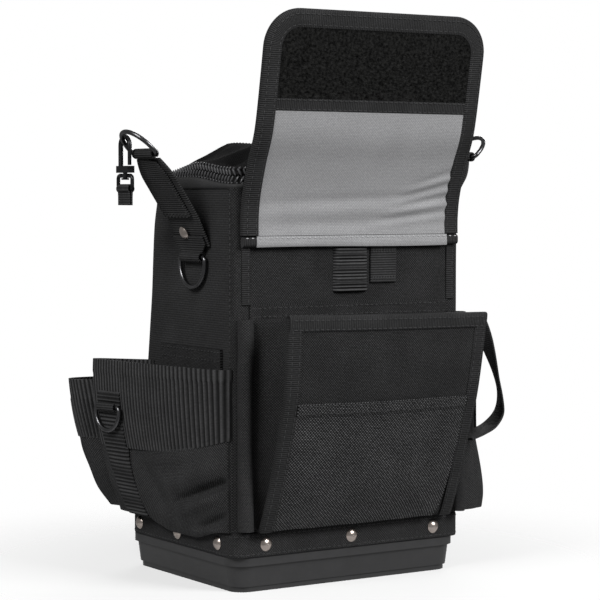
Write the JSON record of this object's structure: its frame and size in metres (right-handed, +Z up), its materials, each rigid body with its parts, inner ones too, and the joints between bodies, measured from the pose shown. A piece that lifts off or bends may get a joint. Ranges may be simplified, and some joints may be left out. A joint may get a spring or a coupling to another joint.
{
  "type": "zippered tool bag",
  "caption": "Upright tool bag on a moulded riveted tray, with a zipped lid, standing front flap, flared front pocket, side pouches, leaning webbing straps with D-rings and a snap hook.",
  "frame": {"origin": "centre of the tray's underside, where the bag stands", "axes": "+Z up, -Y towards the front with the flap and the big pocket, +X to the viewer's right seen from the front"},
  "size_m": [0.3212, 0.2385, 0.417],
  "materials": {
    "fabric": "plain-woven nylon, matt black",
    "ballistic": "coarse ballistic weave, matt black",
    "webbing": "ribbed webbing, matt black",
    "binding": "grosgrain edge binding, black, stitched",
    "hook_and_loop": "black hook-and-loop pile",
    "lining": "grey coated woven lining",
    "elastic": "shirred black elastic",
    "tray": "moulded dark grey plastic, satin",
    "zip": "black coil teeth on tape",
    "rivet": "polished nickel",
    "ring": "gunmetal plated steel wire"
  },
  "bodies": {
    "bag": {"anchor_left": "webbing", "anchor_right": "webbing", "base_band": "ballistic", "base_board": "tray", "base_rivets": "rivet", "base_tray": "tray", "corner_pocket_left": "elastic", "corner_pocket_right": "elastic", "flap_hem": "binding", "front_elastic_loop": "elastic", "front_gusset_left": "fabric", "front_gusset_right": "fabric", "front_loop_field": "hook_and_loop", "front_panel": "fabric", "front_patch_pocket": "ballistic", "front_pocket_binding": "binding", "front_pocket_panel": "fabric", "front_slip_pocket": "fabric", "front_webbing_patch": "webbing", "seam_bindings": "binding", "side_flat_pocket_left": "fabric", "side_flat_pocket_right": "fabric", "side_pocket_left": "ballistic", "side_pocket_right": "ballistic", "side_ring_loop_left": "webbing", "side_strip_left": "webbing", "tape_loop": "webbing", "top_hem": "binding", "wrap_panel": "fabric", "zip_row_lower": "zip"},
    "lid": {"lid_panel": "fabric", "lid_binding": "binding", "zip_row_upper": "zip"},
    "flap_low": {"flap_lower": "fabric", "flap_lining_lower": "lining", "flap_binding_lower": "binding"},
    "flap_high": {"flap_upper": "fabric", "flap_lining_upper": "lining", "flap_webbing": "webbing", "flap_hook_pad": "hook_and_loop", "flap_binding_upper": "binding"},
    "left_strap": {"strap_left": "webbing", "strap_rivet_left": "rivet"},
    "right_strap": {"strap_right": "webbing", "strap_rivet_right": "rivet"},
    "left_lower_ring": {"lower_ring_left": "ring"},
    "right_lower_ring": {"lower_ring_right": "ring"},
    "left_upper_ring": {"upper_ring_left": "ring"},
    "right_upper_ring": {"upper_ring_right": "ring"},
    "strip_ring": {"side_ring_left": "ring"},
    "hook": {"snap_hook": "ring"},
    "gate": {"snap_gate": "ring"},
    "swivel": {"snap_swivel": "ring", "snap_tab": "webbing"},
    "slider": {"zip_slider": "ring"},
    "pull": {"zip_pull": "ring"}
  },
  "joints": [
    {"name": "lid_hinge", "type": "hinge", "parent": "bag", "child": "lid", "pos_m": [0, 0.081, 0.303], "axis": [-1, 0, 0], "range_deg": [0, 100]},
    {"name": "flap_seam", "type": "hinge", "parent": "bag", "child": "flap_low", "pos_m": [0, -0.0844, 0.257], "axis": [1, 0, 0], "range_deg": [0, 120]},
    {"name": "flap_crease", "type": "hinge", "parent": "flap_low", "child": "flap_high", "pos_m": [0, -0.1063, 0.333], "axis": [1, 0, 0], "range_deg": [0, 45]},
    {"name": "left_strap_bend", "type": "hinge", "parent": "bag", "child": "left_strap", "pos_m": [-0.1025, -0.026, 0.249], "axis": [0, -1, 0], "range_deg": [-8, 45]},
    {"name": "left_lower_ring_swing", "type": "hinge", "parent": "bag", "child": "left_lower_ring", "pos_m": [-0.1038, -0.026, 0.2416], "axis": [0, 1, 0], "range_deg": [0, 75]},
    {"name": "left_upper_ring_swing", "type": "hinge", "parent": "left_strap", "child": "left_upper_ring", "pos_m": [-0.1429, -0.026, 0.3167], "axis": [0, -1, 0], "range_deg": [-20, 10]},
    {"name": "right_strap_bend", "type": "hinge", "parent": "bag", "child": "right_strap", "pos_m": [0.1025, -0.026, 0.249], "axis": [0, 1, 0], "range_deg": [-8, 45]},
    {"name": "right_lower_ring_swing", "type": "hinge", "parent": "bag", "child": "right_lower_ring", "pos_m": [0.1038, -0.026, 0.2416], "axis": [0, -1, 0], "range_deg": [0, 75]},
    {"name": "right_upper_ring_swing", "type": "hinge", "parent": "right_strap", "child": "right_upper_ring", "pos_m": [0.1429, -0.026, 0.3167], "axis": [0, 1, 0], "range_deg": [-40, 40]},
    {"name": "strip_ring_swing", "type": "hinge", "parent": "bag", "child": "strip_ring", "pos_m": [-0.13393, 0.05047, 0.12678], "axis": [-0.1655, 0.9862, 0], "range_deg": [0, 75]},
    {"name": "hook_swing", "type": "hinge", "parent": "left_upper_ring", "child": "hook", "pos_m": [-0.15009, -0.00918, 0.32365], "axis": [1, 0, 0], "range_deg": [-15, 15]},
    {"name": "gate_open", "type": "hinge", "parent": "hook", "child": "gate", "pos_m": [-0.15009, -0.01578, 0.3086], "axis": [-1, 0, 0], "range_deg": [0, 20], "stiffness_Nm_per_rad": 0.02},
    {"name": "swivel_turn", "type": "hinge", "parent": "hook", "child": "swivel", "pos_m": [-0.15009, -0.00918, 0.3009], "axis": [0, 0, 1], "continuous": true},
    {"name": "zip_run", "type": "slide", "parent": "bag", "child": "slider", "axis": [0, 1, 0], "range_m": [0, 0.07]},
    {"name": "pull_swing", "type": "hinge", "parent": "slider", "child": "pull", "pos_m": [0.10435, -0.065, 0.3049], "axis": [0, -1, 0], "range_deg": [0, 15]}
  ]
}
